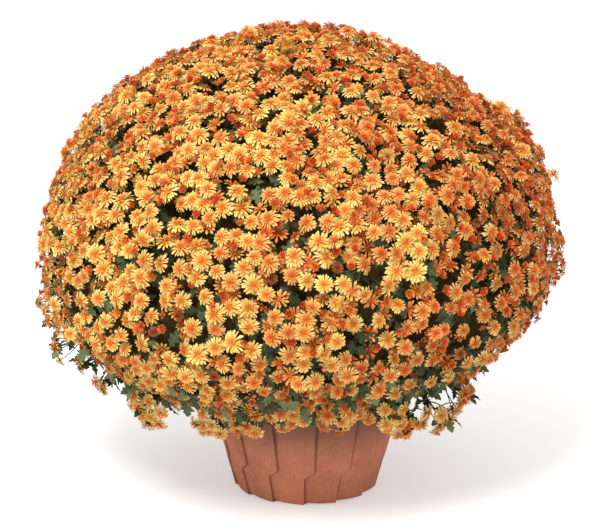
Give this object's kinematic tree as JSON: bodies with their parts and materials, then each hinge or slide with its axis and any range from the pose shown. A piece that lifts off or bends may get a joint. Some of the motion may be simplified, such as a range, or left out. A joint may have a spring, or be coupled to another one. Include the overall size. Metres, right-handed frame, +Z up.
{
  "type": "pot chrysanthemum",
  "caption": "Garden chrysanthemum grown as a large cushion of bronze daisy blooms over lobed leaves, in a moulded stave-pattern plastic pot.",
  "frame": {"origin": "centre of the pot's underside, on the surface that it stands on", "axes": "+Z up along the pot's axis; -Y is the front that the reference view looks at, +X its right"},
  "size_m": [0.8069, 0.8117, 0.7285],
  "materials": {
    "pot": "matte",
    "soil": "matte",
    "stems": "matte",
    "foliage": "matte",
    "bloom_yellow": "matte",
    "bloom_orange": "matte"
  },
  "bodies": {
    "root": {"pot": "pot", "soil": "soil", "stems": "stems", "foliage": "foliage", "spray_01": "bloom_yellow", "spray_02": "bloom_orange", "spray_03": "bloom_yellow", "spray_04": "bloom_yellow", "spray_05": "bloom_orange", "spray_06": "bloom_yellow", "spray_07": "bloom_yellow", "spray_08": "bloom_orange", "spray_09": "bloom_yellow", "spray_10": "bloom_yellow", "spray_11": "bloom_orange", "spray_12": "bloom_yellow", "spray_13": "bloom_yellow", "spray_14": "bloom_orange", "spray_15": "bloom_yellow", "spray_16": "bloom_yellow", "spray_17": "bloom_orange", "spray_18": "bloom_yellow", "spray_19": "bloom_yellow", "spray_20": "bloom_orange", "spray_21": "bloom_yellow", "spray_22": "bloom_yellow", "spray_23": "bloom_orange", "spray_24": "bloom_yellow", "spray_25": "bloom_yellow", "spray_26": "bloom_orange", "spray_27": "bloom_yellow", "spray_28": "bloom_yellow", "spray_29": "bloom_orange", "spray_30": "bloom_yellow", "spray_31": "bloom_yellow", "spray_32": "bloom_orange", "spray_33": "bloom_yellow", "spray_34": "bloom_yellow", "spray_35": "bloom_orange", "spray_36": "bloom_yellow", "spray_37": "bloom_yellow", "spray_38": "bloom_orange", "spray_39": "bloom_yellow", "spray_40": "bloom_yellow", "spray_41": "bloom_orange", "spray_42": "bloom_yellow"}
  },
  "joints": []
}
